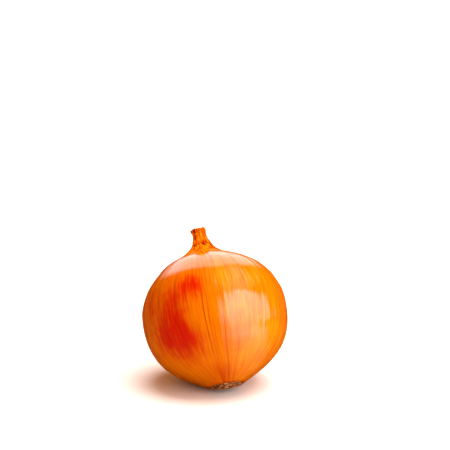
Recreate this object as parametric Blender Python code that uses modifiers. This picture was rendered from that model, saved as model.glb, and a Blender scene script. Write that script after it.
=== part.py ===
"""A whole yellow onion lying at rest: the bulb with its dry neck, and the root plate with its dry roots.

Both pieces are modelled upright round the bulb's own axis, with height 0 at the skin's lower edge, and are then
leaned back together towards +Y until the bulb lies on a small flat spot of its lower flank, in the plane Z = 0.
The origin is in that plane, below the middle of the onion.
"""

import math
import random
from collections import namedtuple

import bmesh
import bpy
import numpy as np
from mathutils import Matrix, Vector
from mathutils.geometry import interpolate_bezier

MM = 0.001

# The bulb's outline
EQUATOR_RADIUS = 38.0 * MM
EQUATOR_HEIGHT = 38.2 * MM
SKIN_EDGE_RADIUS = 9.0 * MM
SHOULDER_RADIUS = 15.5 * MM
SHOULDER_HEIGHT = 69.5 * MM
NECK_RADIUS = 3.5 * MM
NECK_HEIGHT = 82.2 * MM
RIM_RADIUS = 3.7 * MM
RIM_HEIGHT = 85.4 * MM
RIM_ROUNDING = 0.5 * MM
NECK_HOLLOW_DEPTH = 1.6 * MM
COLUMNS = 96

# Relief of the bulb, and the heights between which the body's relief comes in and fades out
RIBS = 24
RIB_RELIEF = 0.13 * MM
OUT_OF_ROUND = 0.008
RELIEF_COMES_IN = (1.0 * MM, 9.0 * MM)
RELIEF_FADES_OUT = (63.0 * MM, 72.0 * MM)
NECK_FOLDS = 9
FOLD_RELIEF = 0.5 * MM
NECK_TWIST = 1.1
NECK_SWAY = Vector((-0.9 * MM, 0.3 * MM))
RIM_RAGGEDNESS = 0.6 * MM

# The dry leaf sheaths lapped round the neck: where each one's free edge is, in degrees, how far an edge
# stands out, the turn over which the sheath comes back down behind its edge, how far the edges slant round
# the neck, and the laps' mean, which is taken off so that the neck keeps its outline
LAP_EDGES = (38, 112, 205, 262, 331)
LAP_STEP = 0.35 * MM
LAP_TURN = math.radians(105)
LAP_SLANT = math.radians(25)
LAP_MEAN = 0.75
LAP_FOOT = 74.0 * MM

# The scrap of sheath that is torn loose at the top of the neck and curls outwards
SCRAP_ANGLE = math.radians(163)
SCRAP_WIDTH = math.radians(58)
SCRAP_FOOT = 80.6 * MM
SCRAP_TIP = 85.4 * MM
SCRAP_ROOTED = 0.9 * MM
SCRAP_CURL = 2.0 * MM
SCRAP_THICKNESS = 0.65 * MM

# The root plate in its recess under the skin's thin lip, and the dry roots
SKIN_LIP = 0.2 * MM
RECESS_DEPTH = 2.0 * MM
FIT_GAP = 0.3 * MM
PLATE_RADIUS = SKIN_EDGE_RADIUS - SKIN_LIP - FIT_GAP
PLATE_EDGE_HEIGHT = 0.6 * MM
PLATE_CROWN = 1.0 * MM
PLATE_BEVEL = 0.3 * MM
PLATE_COLUMNS = 36
ROOTS = 66
ROOT_RADIUS = 0.52 * MM
ROOT_SPREAD = PLATE_RADIUS - ROOT_RADIUS
ROOT_LENGTHS = (2.0 * MM, 3.0 * MM)
ROOT_TAPER = (1.1, 1.0, 0.9, 0.65)
ROOT_FLARE = 0.8
ROOT_SEED = 7
GOLDEN_ANGLE = math.pi * (3 - math.sqrt(5))

# How the onion lies
LEAN = math.radians(31)
FLAT_DEPTH = 0.5 * MM
TABLE_CLEARANCE = 0.2 * MM
TABLE_THICKNESS = 10.0 * MM

Knot = namedtuple("Knot", "radius height heading pull_before pull_after")

# The outside of the bulb, from the skin's lower edge up to the neck. A heading is the outline's direction
# there, in degrees up from outwards, and a pull is how far the curve follows it on either side.
OUTLINE = (
    Knot(SKIN_EDGE_RADIUS, 0.0, 27.7, 0.0, 19.8 * MM),
    Knot(EQUATOR_RADIUS, EQUATOR_HEIGHT, 90.0, 22.3 * MM, 16.7 * MM),
    Knot(SHOULDER_RADIUS, SHOULDER_HEIGHT, 159.4, 10.8 * MM, 7.9 * MM),
    Knot(NECK_RADIUS, NECK_HEIGHT, 90.0, 6.3 * MM, 1.0 * MM),
    Knot(RIM_RADIUS, RIM_HEIGHT - RIM_ROUNDING, 84.0, 1.0 * MM, 0.0),
)
ROWS = (12, 11, 11, 4)

SKIN_COLOUR = (0.80, 0.24, 0.02, 1.0)
ROOT_COLOUR = (0.48, 0.30, 0.14, 1.0)


def clear_scene():
    for obj in list(bpy.data.objects):
        bpy.data.objects.remove(obj)


def collection(name):
    made = bpy.data.collections.new(name)
    bpy.context.scene.collection.children.link(made)
    return made


def material(name, colour, roughness):
    made = bpy.data.materials.new(name)
    made.use_nodes = True
    shader = made.node_tree.nodes["Principled BSDF"]
    shader.inputs["Base Color"].default_value = colour
    shader.inputs["Roughness"].default_value = roughness
    shader.inputs["Metallic"].default_value = 0.0
    return made


def add_object(name, data, into):
    obj = bpy.data.objects.new(name, data)
    into.objects.link(obj)
    return obj


def finished_mesh(obj):
    """The object's mesh with its modifiers applied, or a curve's tube, with loose caps welded on."""
    bpy.context.view_layer.update()
    graph = bpy.context.evaluated_depsgraph_get()
    mesh = bpy.data.meshes.new_from_object(obj.evaluated_get(graph))
    edit = bmesh.new()
    edit.from_mesh(mesh)
    bmesh.ops.remove_doubles(edit, verts=edit.verts, dist=1e-6)
    edit.to_mesh(mesh)
    edit.free()
    return mesh


def smoothstep(low, high, value):
    share = np.clip((value - low) / (high - low), 0.0, 1.0)
    return share * share * (3 - 2 * share)


def bulb_outline():
    """(radius, height) up the outside of the bulb, along the curves between the knots."""
    points = [Vector((OUTLINE[0].radius, OUTLINE[0].height))]
    for low, high, rows in zip(OUTLINE, OUTLINE[1:], ROWS):
        leave = Vector((math.cos(math.radians(low.heading)), math.sin(math.radians(low.heading))))
        arrive = Vector((math.cos(math.radians(high.heading)), math.sin(math.radians(high.heading))))
        start = Vector((low.radius, low.height))
        end = Vector((high.radius, high.height))
        curve = interpolate_bezier(
            start, start + low.pull_after * leave, end - high.pull_before * arrive, end, rows + 1
        )
        points += [Vector((p.x, p.y)) for p in curve[1:]]
    return points


def neck_hollow():
    """(radius, height) from the middle of the cut neck's hollow out and up over its rim."""
    floor = RIM_HEIGHT - NECK_HOLLOW_DEPTH
    return [
        Vector((0.0, floor)),
        Vector((0.45 * RIM_RADIUS, floor + 0.1 * NECK_HOLLOW_DEPTH)),
        Vector((0.68 * RIM_RADIUS, RIM_HEIGHT - 0.3 * NECK_HOLLOW_DEPTH)),
        Vector((0.83 * RIM_RADIUS, RIM_HEIGHT)),
    ]


def plate_recess():
    """(radius, height) from the skin's lower edge in and up to the middle of the recess."""
    wall = SKIN_EDGE_RADIUS - SKIN_LIP
    return [
        Vector((wall, SKIN_LIP)),
        Vector((wall, RECESS_DEPTH)),
        Vector((0.5 * wall, RECESS_DEPTH)),
        Vector((0.0, RECESS_DEPTH)),
    ]


def turned_mesh(name, profile, steps):
    """A closed mesh turned about Z from (radius, height) pairs that run down the outer side."""
    mesh = bpy.data.meshes.new(name)
    edges = [(i, i + 1) for i in range(len(profile) - 1)]
    mesh.from_pydata([(p.x, 0.0, p.y) for p in profile], edges, [])
    blank = bpy.data.objects.new(name, mesh)
    bpy.context.scene.collection.objects.link(blank)
    screw = blank.modifiers.new("turn", "SCREW")
    screw.axis = "Z"
    screw.steps = steps
    screw.render_steps = steps
    screw.use_merge_vertices = True
    screw.merge_threshold = 1e-6
    turned = finished_mesh(blank)
    bpy.data.objects.remove(blank)
    return turned


def neck_axis(height):
    """How far the neck's middle has swayed off the bulb's axis, in X and Y, at these heights."""
    share = smoothstep(SHOULDER_HEIGHT, NECK_HEIGHT, height)
    return share * NECK_SWAY.x, share * NECK_SWAY.y


def neck_relief(angle, height):
    """How far the neck's skin stands out at these angles and heights: round folds with sharp valleys, which
    twist upwards, and the laps of the sheaths, which stand out at their free edges. Both grow upwards."""
    share = smoothstep(SHOULDER_HEIGHT, NECK_HEIGHT, height)
    folds = 2 * np.abs(np.cos(0.5 * NECK_FOLDS * angle + NECK_TWIST * share)) - 1.3
    laps = -LAP_MEAN
    for edge in LAP_EDGES:
        behind = np.mod(angle - math.radians(edge) + LAP_SLANT * share, 2 * math.pi)
        laps = laps + 1 - smoothstep(0.0, LAP_TURN, behind)
    return FOLD_RELIEF * share * folds + LAP_STEP * smoothstep(LAP_FOOT, NECK_HEIGHT, height) * laps


def give_relief(mesh):
    """Moves the turned bulb's points out or in: the body out of round and ribbed by its veins, the neck
    drawn into folds, leaning a little to one side, its rim torn unevenly and lower beside the scrap."""
    flat = np.empty(len(mesh.vertices) * 3, np.float32)
    mesh.vertices.foreach_get("co", flat)
    x, y, height = flat.astype(float).reshape(-1, 3).T
    angle = np.arctan2(y, x)
    radius = np.hypot(x, y)

    body = smoothstep(*RELIEF_COMES_IN, height) * (1 - smoothstep(*RELIEF_FADES_OUT, height))
    lobes = 0.6 * np.cos(2 * angle + 0.7) + 0.4 * np.cos(3 * angle - 1.1)
    ribs = np.cos(RIBS * angle) * (0.7 + 0.3 * np.sin(5 * angle + 1.0))
    outside = smoothstep(0.3 * RIM_RADIUS, 0.8 * RIM_RADIUS, radius)
    rim = smoothstep(NECK_HEIGHT, RIM_HEIGHT, height) * outside
    torn = 0.5 * np.sin(7 * angle + 2.0) + 0.3 * np.sin(11 * angle) - 0.8 * np.cos(angle - SCRAP_ANGLE)

    radius = radius * (1 + OUT_OF_ROUND * body * lobes) + RIB_RELIEF * body * ribs
    radius = radius + outside * neck_relief(angle, height)
    sway_x, sway_y = neck_axis(height)
    x = radius * np.cos(angle) + sway_x
    y = radius * np.sin(angle) + sway_y
    height = height + RIM_RAGGEDNESS * rim * torn
    mesh.vertices.foreach_set("co", np.stack([x, y, height], axis=1).astype(np.float32).ravel())
    mesh.update()


def torn_scrap(into):
    """The loose scrap: a thin blade that leaves the neck's wall and curls out to a torn, narrower end."""
    grid = bmesh.new()
    bmesh.ops.create_grid(grid, x_segments=6, y_segments=6, size=1.0)
    across, along = np.array([v.co.xy for v in grid.verts]).T
    along = 0.5 + 0.5 * along
    torn = 0.14 * across**2 + 0.05 * np.cos(5 * across + 1.0)
    height = SCRAP_FOOT + (SCRAP_TIP - SCRAP_FOOT) * along * (1 - torn * along)
    angle = SCRAP_ANGLE + 0.5 * SCRAP_WIDTH * across * (1 - 0.45 * along)
    radius = NECK_RADIUS - SCRAP_ROOTED * (1 - along) + SCRAP_CURL * along**2
    sway_x, sway_y = neck_axis(height)
    places = np.stack([radius * np.cos(angle) + sway_x, radius * np.sin(angle) + sway_y, height], axis=1)
    for vert, place in zip(grid.verts, places):
        vert.co = place
    bmesh.ops.recalc_face_normals(grid, faces=grid.faces)
    mesh = bpy.data.meshes.new("scrap")
    grid.to_mesh(mesh)
    grid.free()
    blade = add_object("scrap", mesh, into)
    shell = blade.modifiers.new("thickness", "SOLIDIFY")
    shell.thickness = SCRAP_THICKNESS
    shell.offset = 0.0


def fuse(obj, pieces):
    """Joins a collection's objects to obj as one body, and removes them."""
    union = obj.modifiers.new("fuse", "BOOLEAN")
    union.operation = "UNION"
    union.operand_type = "COLLECTION"
    union.collection = pieces
    union.solver = "EXACT"
    obj.data = finished_mesh(obj)
    obj.modifiers.remove(union)
    for piece in list(pieces.objects):
        bpy.data.objects.remove(piece)
    bpy.data.collections.remove(pieces)


def build_bulb(onion):
    """The bulb with its neck: one turned body in relief, with the torn scrap fused to the neck."""
    mesh = turned_mesh("bulb", neck_hollow() + bulb_outline()[::-1] + plate_recess(), COLUMNS)
    give_relief(mesh)
    bulb = add_object("bulb", mesh, onion)
    scraps = collection("scraps")
    torn_scrap(scraps)
    fuse(bulb, scraps)
    bulb.data.materials.clear()
    bulb.data.materials.append(material("onion_skin", SKIN_COLOUR, 0.3))
    return bulb


def lie_down(bulb):
    """The matrix that leans the onion back and sets it with the origin below its middle, its lowest
    point FLAT_DEPTH under the table."""
    lean = Matrix.Rotation(-LEAN, 4, "X")
    points = np.array([lean @ v.co for v in bulb.data.vertices])
    low, high = points.min(axis=0), points.max(axis=0)
    middle = (low + high) / 2
    return Matrix.Translation((-middle[0], -middle[1], -low[2] - FLAT_DEPTH)) @ lean


def plate_height(radius):
    """Height of the root plate's domed underside."""
    return PLATE_EDGE_HEIGHT - PLATE_CROWN * (1 - (radius / PLATE_RADIUS) ** 2)


def root_path(draw, number, place):
    """Points along one dry root, from inside the plate down and out, hooked over to one side. Where the
    onion lies on the table, the root is bent clear of it. None where the plate itself is too low."""
    distance = ROOT_SPREAD * math.sqrt((number + 0.5) / ROOTS)
    angle = number * GOLDEN_ANGLE + draw.uniform(-0.12, 0.12)
    outwards = Vector((math.cos(angle), math.sin(angle), 0.0))
    sideways = Vector((-math.sin(angle), math.cos(angle), 0.0))
    down = Vector((0.0, 0.0, -1.0))
    length = draw.uniform(*ROOT_LENGTHS)
    splay = 0.4 * distance / PLATE_RADIUS + draw.uniform(-0.3, 0.3)
    swing = draw.choice((-1, 1)) * draw.uniform(0.4, 1.0)
    start = outwards * distance
    start.z = plate_height(distance) + ROOT_RADIUS
    middle = start + length * (0.55 * down + 0.3 * splay * outwards + 0.2 * swing * sideways)
    bend = middle + length * (0.2 * down + 0.3 * splay * outwards + 0.35 * swing * sideways)
    end = bend + length * (-0.05 * down + 0.1 * splay * outwards + 0.4 * swing * sideways)
    path = [start, middle, bend, end]
    floor = ROOT_RADIUS + TABLE_CLEARANCE
    if (place @ start).z < floor:
        return None
    for point in path:
        lack = floor - (place @ point).z
        point.z += max(0.0, lack) / math.cos(LEAN)
        past_the_lip = max(0.0, -point.z - ROOT_RADIUS - FIT_GAP)
        point.xy *= min(1.0, (ROOT_SPREAD + ROOT_FLARE * past_the_lip) / point.xy.length)
    return path


def root(path, into):
    """A thin tube along the path, tapering to its broken end."""
    curve = bpy.data.curves.new("root", "CURVE")
    curve.dimensions = "3D"
    curve.bevel_depth = ROOT_RADIUS
    curve.bevel_resolution = 1
    curve.use_fill_caps = True
    line = curve.splines.new("POLY")
    line.points.add(len(path) - 1)
    for point, spot, thickness in zip(line.points, path, ROOT_TAPER):
        point.co = (*spot, 1.0)
        point.radius = thickness
    guide = add_object("root", curve, into)
    add_object("root", finished_mesh(guide), into)
    bpy.data.objects.remove(guide)


def build_root_plate(onion, place):
    """The root plate, a shallow disc domed underneath, with the dry roots fused to it."""
    top = RECESS_DEPTH - FIT_GAP
    profile = [
        Vector((0.0, top)),
        Vector((PLATE_RADIUS - PLATE_BEVEL, top)),
        Vector((PLATE_RADIUS, top - PLATE_BEVEL)),
    ]
    profile += [Vector((share * PLATE_RADIUS, plate_height(share * PLATE_RADIUS))) for share in (1, 0.7, 0.36, 0)]
    plate = add_object("root_plate", turned_mesh("root_plate", profile, PLATE_COLUMNS), onion)
    roots = collection("roots")
    draw = random.Random(ROOT_SEED)
    for number in range(ROOTS):
        path = root_path(draw, number, place)
        if path:
            root(path, roots)
    fuse(plate, roots)
    plate.data.materials.clear()
    plate.data.materials.append(material("dry_root", ROOT_COLOUR, 0.9))
    return plate


def press_flat(bulb, cutters):
    """Cuts the small flat spot that the bulb lies on, with a block whose top is the table."""
    bpy.ops.mesh.primitive_cube_add(size=1.0)
    table = bpy.context.object
    table.name = "table"
    table.scale = (2 * EQUATOR_RADIUS, 2 * EQUATOR_RADIUS, TABLE_THICKNESS)
    table.location = (0.0, 0.0, -0.5 * TABLE_THICKNESS)
    for holder in list(table.users_collection):
        holder.objects.unlink(table)
    cutters.objects.link(table)
    table.hide_render = True
    table.display_type = "WIRE"
    cut = bulb.modifiers.new("flat_spot", "BOOLEAN")
    cut.operation = "DIFFERENCE"
    cut.object = table
    cut.solver = "EXACT"


def shade(obj):
    obj.data.shade_smooth()
    obj.data.set_sharp_from_angle(angle=math.radians(40))


def main():
    clear_scene()
    onion = collection("onion")
    bulb = build_bulb(onion)
    place = lie_down(bulb)
    plate = build_root_plate(onion, place)
    rest = add_object("onion_at_rest", None, onion)
    rest.matrix_world = place
    for piece in (bulb, plate):
        piece.parent = rest
        shade(piece)
    press_flat(bulb, collection("cutters"))


main()
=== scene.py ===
"""The looks of a whole yellow onion at rest: its glossy skin, its dry torn neck and its mat of dry roots.

Every shape is worked out upright round the bulb's own axis, with height 0 at the skin's lower edge, and is
then leaned back and set down on the table with the rest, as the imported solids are. Lengths are in metres.
"""

import math
from collections import namedtuple

import bpy
import numpy as np
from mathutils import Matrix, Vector


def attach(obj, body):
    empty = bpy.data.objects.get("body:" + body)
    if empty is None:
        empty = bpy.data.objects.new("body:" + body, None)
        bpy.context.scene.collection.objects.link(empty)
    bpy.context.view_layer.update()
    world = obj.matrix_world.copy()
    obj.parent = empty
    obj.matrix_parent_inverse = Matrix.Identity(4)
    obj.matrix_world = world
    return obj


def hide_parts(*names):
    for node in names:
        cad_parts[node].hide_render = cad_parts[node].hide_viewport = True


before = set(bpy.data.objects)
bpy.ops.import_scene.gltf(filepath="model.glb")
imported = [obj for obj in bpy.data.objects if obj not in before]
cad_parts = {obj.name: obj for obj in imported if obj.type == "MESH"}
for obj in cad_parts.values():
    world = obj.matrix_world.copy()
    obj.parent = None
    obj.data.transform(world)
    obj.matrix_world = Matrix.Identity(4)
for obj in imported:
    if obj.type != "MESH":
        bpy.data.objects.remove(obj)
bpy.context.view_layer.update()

MM = 0.001
TURN = 2 * math.pi

# The bulb's outline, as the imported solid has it
EQUATOR_RADIUS = 38.0 * MM
EQUATOR_HEIGHT = 38.2 * MM
SKIN_EDGE_RADIUS = 9.0 * MM
SKIN_LIP = 0.2 * MM
SHOULDER_HEIGHT = 69.5 * MM
NECK_RADIUS = 3.5 * MM
NECK_HEIGHT = 82.2 * MM
RIM_RADIUS = 3.7 * MM
RIM_HEIGHT = 85.4 * MM
RIM_ROUNDING = 0.5 * MM
NECK_HOLLOW_DEPTH = 1.6 * MM
RIM_PROFILE = ((0.97, 0.15 * MM), (0.9, 0.0), (0.83, 0.05 * MM), (0.68, 0.48 * MM), (0.45, 1.44 * MM))
RECESS_DEPTH = 2.0 * MM
FIT_GAP = 0.3 * MM

# How the onion lies
LEAN = math.radians(31)
FLAT_DEPTH = 0.5 * MM
TABLE_CLEARANCE = 0.2 * MM

# The body's relief: out of round, broad ribs, and fine ripples (how many round the bulb, depth, phase)
OUT_OF_ROUND = 0.008
RIBS = 24
RIB_RELIEF = 0.09 * MM
RELIEF_COMES_IN = (1.0 * MM, 9.0 * MM)
RELIEF_FADES_OUT = (63.0 * MM, 72.0 * MM)
RIPPLES = ((37, 0.034 * MM, 0.3), (53, 0.028 * MM, 1.9), (71, 0.022 * MM, 4.0), (97, 0.012 * MM, 2.2))
RIDGES = 120
RIDGE_RELIEF = 0.24 * MM
RIDGE_HEIGHT = 49.0 * MM
RIDGE_SPREAD = 6.0 * MM
RIDGE_LENGTH = 3.4 * MM
RIPPLES_COME_IN = 12.0 * MM

# The neck's relief: round folds, laps of the sheaths, fine creases, and the torn rim
NECK_FOLDS = 9
FOLD_RELIEF = 0.5 * MM
FOLD_MEAN = 1.3
NECK_TWIST = 1.1
NECK_SWAY = (-0.9 * MM, 0.3 * MM)
FOOT_SWAY = (-1.1 * MM, 0.4 * MM)
FOOT_SWAYS = ((62.0 * MM, 69.0 * MM), (70.0 * MM, 78.0 * MM))
NECK_FULLER = 0.45 * MM
NECK_FULL = ((70.0 * MM, 74.5 * MM), (76.0 * MM, 80.0 * MM))
NECK_SLIMMER = 0.45 * MM
NECK_SLIMS = (78.0 * MM, 83.0 * MM)
LAP_EDGES = (38, 112, 205, 262, 331)
LAP_STEP = 0.35 * MM
LAP_TURN = math.radians(105)
LAP_SLANT = math.radians(25)
LAP_MEAN = 0.75
LAP_FOOT = 74.0 * MM
CREASES = ((23, 0.20 * MM, 0.8), (37, 0.13 * MM, 2.1), (58, 0.07 * MM, 4.4))
CREASE_MEAN = 0.8
CREASES_COME_IN = 3.0 * MM
RIM_RAGGEDNESS = 0.6 * MM

# The scrap of sheath that is torn off and curls out
SCRAP_ANGLE = math.radians(163)
SCRAP_BASE_ANGLE = math.radians(184)
SCRAP_WIDTH = math.radians(88)
SCRAP_FOOT = 80.2 * MM
SCRAP_TIP = 84.9 * MM
SCRAP_ROOTED = 0.9 * MM
SCRAP_CURL = 0.8 * MM
RIM_FLARE = 1.0 * MM
FLARE_HEIGHT = 3.5 * MM
FLARE_TURN = math.radians(48)
PAPER_THICKNESS = 0.16 * MM

# The root plate and its roots
PLATE_RADIUS = SKIN_EDGE_RADIUS - SKIN_LIP - FIT_GAP
PLATE_EDGE_HEIGHT = 0.6 * MM
PLATE_CROWN = 1.0 * MM
PIT_RELIEF = 0.16 * MM
ROOTS = 420
ROOT_RADII = (0.13 * MM, 0.29 * MM)
ROOT_LENGTHS = (0.8 * MM, 2.2 * MM)
ROOT_TAPER = (1.15, 1.0, 0.95, 0.85, 0.7, 0.5)
ROOT_SIDES = 6
ROOT_SEED = 11
ROOT_DEPTH = 0.4 * MM
PALE_ROOTS = 0.4
GOLDEN_ANGLE = math.pi * (3 - math.sqrt(5))

# The grids that the skin and the plate are made on
SKIN_COLUMNS = 600
BODY_ROWS = (46, 40, 56, 12)
PLATE_COLUMNS = 120
SKIN_ARC = 150 * MM

# Where the neck's dry colour begins, with a V that reaches down the front as painted reflection of the neck
# in the glossy shoulder, where its dashes come in, and where its side towards the scrap reddens as painted
# shade
NECK_FOOT = 67.3 * MM
NECK_SHOWS = 73.3 * MM
NECK_REFLECTION_V = 4.3 * MM
NECK_REFLECTION_V_ANGLE = math.radians(252)
NECK_REFLECTION_V_TURN = math.radians(9)
DASHES_COME_IN = (71.0 * MM, 75.0 * MM)
SIDE_SHADE_COMES_IN = (75.0 * MM, 80.0 * MM)
SIDE_SHADE_RED = 0.6

Knot = namedtuple("Knot", "radius height heading pull_before pull_after")
OUTLINE = (
    Knot(SKIN_EDGE_RADIUS, 0.0, 27.7, 0.0, 19.8 * MM),
    Knot(EQUATOR_RADIUS, EQUATOR_HEIGHT, 90.0, 22.3 * MM, 16.7 * MM),
    Knot(15.5 * MM, SHOULDER_HEIGHT, 159.4, 10.8 * MM, 7.9 * MM),
    Knot(NECK_RADIUS, NECK_HEIGHT, 90.0, 6.3 * MM, 1.0 * MM),
    Knot(RIM_RADIUS, RIM_HEIGHT - RIM_ROUNDING, 84.0, 1.0 * MM, 0.0),
)

# Patches, in degrees and millimetres, where the skin is redder (below 0) or more amber (above 0), and the
# stain over the roots. The redder ones on the left front, from 200 to 233 degrees, are partly painted shade,
# the amber ones on the right front, from 262 to 296 degrees, partly painted light, and the rest the skin's
# own tone. The stain's brown along the skin's lower edge, next to the root plate, is painted shade.
Patch = namedtuple("Patch", "angle height half_turn half_height strength")
TONE_AND_SHADING_PATCHES = (
    Patch(216, 25, 15, 13, -1.05),
    Patch(200, 28, 24, 18, -0.3),
    Patch(204, 44, 18, 13, -0.4),
    Patch(230, 49, 13, 8, -0.85),
    Patch(233, 22, 10, 7, -0.55),
    Patch(226, 15, 14, 9, -0.25),
    Patch(338, 42, 28, 18, -0.35),
    Patch(296, 40, 28, 22, 0.35),
    Patch(290, 12, 46, 16, 0.5),
    Patch(241, 50, 11, 9, -0.35),
    Patch(262, 46, 14, 14, 0.4),
    Patch(20, 28, 34, 18, -0.5),
    Patch(62, 50, 30, 20, 0.5),
    Patch(118, 30, 30, 22, -0.4),
)
STAIN = Patch(249, 4, 20, 4, 1.0)
# painted shade along the skin's lower edge, next to the root plate, drawn in the stain's brown
SKIN_EDGE_SHADE = 0.6
SKIN_EDGE_SHADED = 1.2 * MM

# The camera: a long lens, so the view is nearly parallel
AZIMUTH = math.radians(-18.7)
ELEVATION = math.radians(16.5)
FRAME_PIXELS = 450
PIXEL = 0.527 * MM
EQUATOR_PIXEL = (214.8, 315.1)
LENS = 250.0
SENSOR = 36.0


def smoothstep(low, high, value):
    """0 below low, 1 above high, and the smooth cubic 3s^2 - 2s^3 between them."""
    share = np.clip((value - low) / (high - low), 0.0, 1.0)
    return share * share * (3 - 2 * share)


def up_neck(height, foot=SHOULDER_HEIGHT):
    """The smoothed share of the way from a foot, as a rule the shoulder, to the top of the neck."""
    return smoothstep(foot, NECK_HEIGHT, height)


def swell(height, comes_in, goes_out):
    """0, up to 1 over the first two heights, and down to 0 again over the other two."""
    return smoothstep(*comes_in, height) * (1 - smoothstep(*goes_out, height))


def turned_off(angle, middle):
    """How far an angle is turned off a middle, from minus to plus half a turn."""
    return np.mod(angle - middle + math.pi, TURN) - math.pi


def round_axis(angle, radius, height, sway):
    """Upright points at an angle and radius round an axis that is swayed aside in X and Y."""
    return np.stack([radius * np.cos(angle) + sway[0], radius * np.sin(angle) + sway[1], height], axis=-1)


def heading(degrees):
    """The unit step in (radius, height) at this angle from the radius."""
    return np.array([math.cos(math.radians(degrees)), math.sin(math.radians(degrees))])


def bulb_outline(rows):
    """(radius, height) up the outside: between two knots the cubic (1-t)^3 a + 3(1-t)^2 t b + 3(1-t) t^2 c
    + t^3 d, where b and c lie along the knots' headings."""
    stretches = [np.array([[OUTLINE[0].radius, OUTLINE[0].height]])]
    for low, high, count in zip(OUTLINE, OUTLINE[1:], rows):
        t = np.linspace(0, 1, count + 1)[1:, None]
        a = np.array([low.radius, low.height])
        d = np.array([high.radius, high.height])
        b = a + low.pull_after * heading(low.heading)
        c = d - high.pull_before * heading(high.heading)
        stretches.append((1 - t) ** 3 * a + 3 * (1 - t) ** 2 * t * b + 3 * (1 - t) * t**2 * c + t**3 * d)
    return np.concatenate(stretches)


def outside_radius(height):
    """The outline's radius at a height, read between its points."""
    outline = bulb_outline(BODY_ROWS)
    return np.interp(height, outline[:, 1], outline[:, 0])


def neck_axis(height):
    """How far the neck's middle sways off the bulb's axis, in X and Y, at its foot and higher up."""
    share = up_neck(height)
    foot = swell(height, *FOOT_SWAYS)
    return share * NECK_SWAY[0] + foot * FOOT_SWAY[0], share * NECK_SWAY[1] + foot * FOOT_SWAY[1]


def neck_girth(height):
    """How far the neck stands out from the outline: fuller half way up, slimmer at its top."""
    return NECK_FULLER * swell(height, *NECK_FULL) - NECK_SLIMMER * smoothstep(*NECK_SLIMS, height)


def neck_folds(angle, height):
    """Round folds with sharp valleys, 2|cos| of half the angle, which twist and deepen upwards."""
    share = up_neck(height)
    folds = 2 * np.abs(np.cos(0.5 * NECK_FOLDS * angle + NECK_TWIST * share)) - FOLD_MEAN
    return FOLD_RELIEF * share * folds


def neck_laps(angle, height):
    """Each lapped sheath stands out at its free edge and comes back down behind it."""
    share = up_neck(height)
    laps = -LAP_MEAN
    for edge in LAP_EDGES:
        behind = np.mod(angle - math.radians(edge) + LAP_SLANT * share, TURN)
        laps = laps + 1 - smoothstep(0.0, LAP_TURN, behind)
    return LAP_STEP * up_neck(height, LAP_FOOT) * laps


def neck_creases(angle, height):
    """Fine dry creases: the square root of |cos| at several counts, wandering and twisting as folds do."""
    share = up_neck(height, SHOULDER_HEIGHT - CREASES_COME_IN)
    total = 0
    for count, depth, phase in CREASES:
        wander = 0.2 * np.sin(height / (3.5 * MM) + 2 * angle + phase)
        wander = wander + NECK_TWIST * share * count / NECK_FOLDS
        creased = np.sqrt(np.abs(np.cos(0.5 * count * angle + phase + wander)))
        total = total + depth * (creased - CREASE_MEAN)
    return share * total


def body_relief(angle, height, radius):
    """Lobes that put the body out of round, broad ribs, and ripples of several counts that come and go."""
    body = swell(height, RELIEF_COMES_IN, RELIEF_FADES_OUT)
    lobes = 0.6 * np.cos(2 * angle + 0.7) + 0.4 * np.cos(3 * angle - 1.1)
    ribs = np.cos(RIBS * angle) * (0.7 + 0.3 * np.sin(5 * angle + 1.0))
    ripples = 0
    for count, depth, phase in RIPPLES:
        wander = 0.5 * np.sin(height / (9 * MM) + phase + 3 * angle)
        come_and_go = 0.6 + 0.4 * np.sin(height / (6 * MM) + 5 * angle + 2 * phase)
        ripples = ripples + depth * come_and_go * np.cos(count * angle + phase + wander)
    all_over = smoothstep(0.0, RIPPLES_COME_IN, height) * radius / EQUATOR_RADIUS
    shoulder = shoulder_ridges(angle, height)
    return body * (radius * OUT_OF_ROUND * lobes + RIB_RELIEF * ribs + shoulder) + all_over * ripples


def shoulder_ridges(angle, height):
    """Narrow ridges where the skin shrank: across each a squared raised cosine, along it a bell. Its middle,
    length and strength change by sines of the ridge's number."""
    place = np.mod(RIDGES * angle / TURN + 0.35 * np.sin(height / (7 * MM) + 2 * angle), RIDGES)
    number = np.floor(place)
    across = (0.5 - 0.5 * np.cos(TURN * (place - number))) ** 2
    middle = RIDGE_HEIGHT + RIDGE_SPREAD * np.sin(5.1 * number)
    length = RIDGE_LENGTH * (1 + 0.4 * np.sin(3.7 * number))
    strength = np.clip(0.35 + 0.75 * np.sin(2.3 * number + 1.0), 0.0, 1.0)
    return RIDGE_RELIEF * strength * across * np.exp(-(((height - middle) / length) ** 2))


def skin_point(angle, radius, height):
    """The skin's upright point at this angle, outline radius and height, with all its relief. The rim flares
    out as a bell round the scrap's angle and is ragged by a sum of sines."""
    outside = smoothstep(0.3 * RIM_RADIUS, 0.8 * RIM_RADIUS, radius)
    relief = neck_folds(angle, height) + neck_laps(angle, height) + neck_creases(angle, height)
    aside = turned_off(angle, SCRAP_ANGLE) / FLARE_TURN
    flare = RIM_FLARE * smoothstep(RIM_HEIGHT - FLARE_HEIGHT, RIM_HEIGHT, height) * np.exp(-(aside**2))
    out = radius + body_relief(angle, height, radius) + outside * (relief + neck_girth(height) + flare)
    torn = 0.4 * np.sin(7 * angle + 2.0) + 0.3 * np.sin(11 * angle) - 0.2 * np.cos(angle - SCRAP_ANGLE)
    torn = torn + 0.35 * np.sin(23 * angle + 1.0) * np.sin(9 * angle) + 0.2 * np.sin(41 * angle)
    rim = smoothstep(NECK_HEIGHT, RIM_HEIGHT, height) * outside
    return round_axis(angle, out, height + RIM_RAGGEDNESS * rim * torn, neck_axis(height))


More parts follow.
